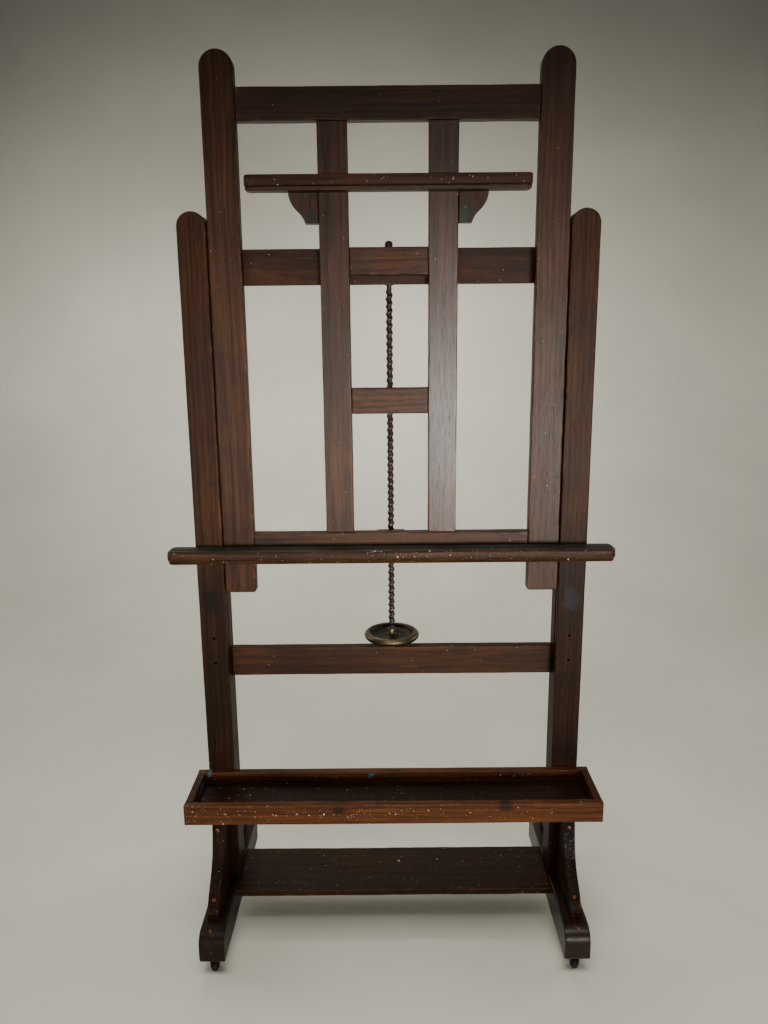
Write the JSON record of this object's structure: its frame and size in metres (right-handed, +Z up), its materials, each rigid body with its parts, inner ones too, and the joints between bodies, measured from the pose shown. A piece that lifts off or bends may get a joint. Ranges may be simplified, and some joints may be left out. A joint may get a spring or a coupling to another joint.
{
  "type": "studio easel",
  "caption": "Free-standing wooden studio easel: a frame with canvas shelf and clamp bar raised by a handwheel screw between posts, with a tray, low shelf and casters.",
  "frame": {"origin": "on the floor, under the middle of the easel", "axes": "+Z up, +X across the easel to the right of someone facing it, -Y towards that person"},
  "size_m": [0.998, 0.464, 2],
  "materials": {
    "timber": "dark reddish brown hardwood, worn satin polish",
    "tray_timber": "orange-brown hardwood, worn polish with paint marks",
    "brass": "aged brass, dark patina with rubbed highlights",
    "steel": "browned steel",
    "iron": "dark iron",
    "caster_wheel": "dark worn iron"
  },
  "bodies": {
    "base": {"post_right": "timber", "post_left": "timber", "upper_rail": "timber", "stretcher": "timber", "foot_right": "timber", "foot_left": "timber", "brace_front_right": "timber", "brace_front_left": "timber", "brace_rear_right": "timber", "brace_rear_left": "timber", "low_shelf": "timber", "tray_front": "tray_timber", "tray_back": "timber", "tray_end_right": "tray_timber", "tray_end_left": "tray_timber", "tray_floor": "timber", "lower_bush": "brass", "upper_bush": "brass", "caster_socket_front_right": "iron", "caster_socket_front_left": "iron", "caster_socket_rear_right": "iron", "caster_socket_rear_left": "iron"},
    "sliding_frame": {"stile_right": "timber", "stile_left": "timber", "top_rail": "timber", "lower_rail": "timber", "inner_stile_right": "timber", "inner_stile_left": "timber", "small_rail_lower": "timber", "small_rail_upper": "timber", "canvas_shelf": "timber", "shelf_cleat": "timber", "runner_right": "timber", "runner_left": "timber", "nut_block": "timber", "brass_nut": "brass"},
    "screw": {"lead_screw": "steel", "handwheel": "brass", "cap_nut": "steel"},
    "top_clamp": {"clamp_bar": "timber", "clamp_bracket_right": "timber", "clamp_bracket_left": "timber", "clamp_keeper_right": "brass", "clamp_keeper_left": "brass", "clamp_leaf_right": "brass", "clamp_leaf_left": "brass"},
    "caster_front_right": {"caster_fork_front_right": "iron", "caster_axle_front_right": "steel"},
    "wheel_front_right": {"caster_wheel_front_right": "caster_wheel"},
    "caster_front_left": {"caster_fork_front_left": "iron", "caster_axle_front_left": "steel"},
    "wheel_front_left": {"caster_wheel_front_left": "caster_wheel"},
    "caster_rear_right": {"caster_fork_rear_right": "iron", "caster_axle_rear_right": "steel"},
    "wheel_rear_right": {"caster_wheel_rear_right": "caster_wheel"},
    "caster_rear_left": {"caster_fork_rear_left": "iron", "caster_axle_rear_left": "steel"},
    "wheel_rear_left": {"caster_wheel_rear_left": "caster_wheel"}
  },
  "joints": [
    {"name": "screw_turn", "type": "hinge", "parent": "base", "child": "screw", "pos_m": [0, 0.019, 0.75], "axis": [0, 0, 1], "range_deg": [-11880, 3240]},
    {"name": "frame_slide", "type": "slide", "parent": "base", "child": "sliding_frame", "axis": [0, 0, 1], "range_m": [-0.1442, 0.5282]},
    {"name": "clamp_slide", "type": "slide", "parent": "sliding_frame", "child": "top_clamp", "axis": [0, 0, 1], "range_m": [-0.62, 0.112]},
    {"name": "swivel_front_right", "type": "hinge", "parent": "base", "child": "caster_front_right", "pos_m": [0.415, -0.196, 0.03], "axis": [0, 0, 1], "continuous": true},
    {"name": "roll_front_right", "type": "hinge", "parent": "caster_front_right", "child": "wheel_front_right", "pos_m": [0.415, -0.205, 0.013], "axis": [1, 0, 0], "continuous": true},
    {"name": "swivel_front_left", "type": "hinge", "parent": "base", "child": "caster_front_left", "pos_m": [-0.415, -0.196, 0.03], "axis": [0, 0, 1], "continuous": true},
    {"name": "roll_front_left", "type": "hinge", "parent": "caster_front_left", "child": "wheel_front_left", "pos_m": [-0.415, -0.205, 0.013], "axis": [1, 0, 0], "continuous": true},
    {"name": "swivel_rear_right", "type": "hinge", "parent": "base", "child": "caster_rear_right", "pos_m": [0.415, 0.196, 0.03], "axis": [0, 0, 1], "continuous": true},
    {"name": "roll_rear_right", "type": "hinge", "parent": "caster_rear_right", "child": "wheel_rear_right", "pos_m": [0.415, 0.187, 0.013], "axis": [1, 0, 0], "continuous": true},
    {"name": "swivel_rear_left", "type": "hinge", "parent": "base", "child": "caster_rear_left", "pos_m": [-0.415, 0.196, 0.03], "axis": [0, 0, 1], "continuous": true},
    {"name": "roll_rear_left", "type": "hinge", "parent": "caster_rear_left", "child": "wheel_rear_left", "pos_m": [-0.415, 0.187, 0.013], "axis": [1, 0, 0], "continuous": true}
  ],
  "couplings": [
    {"joint": "frame_slide", "follows": "screw_turn", "m_per_rad": -0.0025465}
  ]
}
